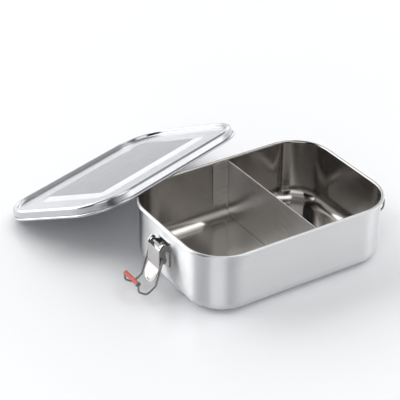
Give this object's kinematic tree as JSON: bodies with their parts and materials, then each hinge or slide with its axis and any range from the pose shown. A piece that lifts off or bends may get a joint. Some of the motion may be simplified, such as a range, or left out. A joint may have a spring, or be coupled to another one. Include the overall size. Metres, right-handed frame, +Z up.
{
  "type": "lunch box",
  "caption": "Rectangular steel food box with rounded corners, a lift-out divider, a separate sealed lid and over-centre wire latches on its short ends.",
  "frame": {"origin": "centre of the tub's flat underside, on the surface that the box stands on", "axes": "+X along the tub's long side, away from the end where the lid overlaps the rim; +Y towards the long side that the lid lies behind; +Z up"},
  "size_m": [0.3132, 0.3093, 0.0705],
  "materials": {
    "tub_steel": "satin",
    "lid_steel": "satin",
    "divider_steel": "satin",
    "latch_steel": "satin",
    "wire_steel": "polished",
    "grip_silicone": "matte",
    "seal_silicone": "matte"
  },
  "bodies": {
    "tub": {"tub": "tub_steel", "left_latch_bracket": "latch_steel", "left_latch_pin": "wire_steel", "right_latch_bracket": "latch_steel", "right_latch_pin": "wire_steel"},
    "lid": {"lid": "lid_steel", "lid_seal": "seal_silicone"},
    "divider": {"divider": "divider_steel"},
    "left_lever": {"left_latch_lever": "latch_steel"},
    "left_bail": {"left_latch_bail": "wire_steel", "left_grip_sleeve": "grip_silicone"},
    "right_lever": {"right_latch_lever": "latch_steel"},
    "right_bail": {"right_latch_bail": "wire_steel", "right_grip_sleeve": "grip_silicone"}
  },
  "joints": [
    {"name": "lid_lift", "type": "slide", "parent": "tub", "child": "lid", "axis": [0, 0, 1], "range_m": [0, 0.12]},
    {"name": "divider_lift", "type": "slide", "parent": "tub", "child": "divider", "axis": [0, 0, 1], "range_m": [0, 0.068]},
    {"name": "left_lever_swing", "type": "hinge", "parent": "tub", "child": "left_lever", "pos_m": [-0.1088, 0, 0.0464], "axis": [0, 1, 0], "range_deg": [0, 140]},
    {"name": "left_bail_swing", "type": "hinge", "parent": "left_lever", "child": "left_bail", "pos_m": [-0.1105, 0, 0.036], "axis": [0, -1, 0], "range_deg": [-160, 12]},
    {"name": "right_lever_swing", "type": "hinge", "parent": "tub", "child": "right_lever", "pos_m": [0.1088, 0, 0.0464], "axis": [0, -1, 0], "range_deg": [0, 140]},
    {"name": "right_bail_swing", "type": "hinge", "parent": "right_lever", "child": "right_bail", "pos_m": [0.1105, 0, 0.036], "axis": [0, 1, 0], "range_deg": [-160, 12]}
  ]
}
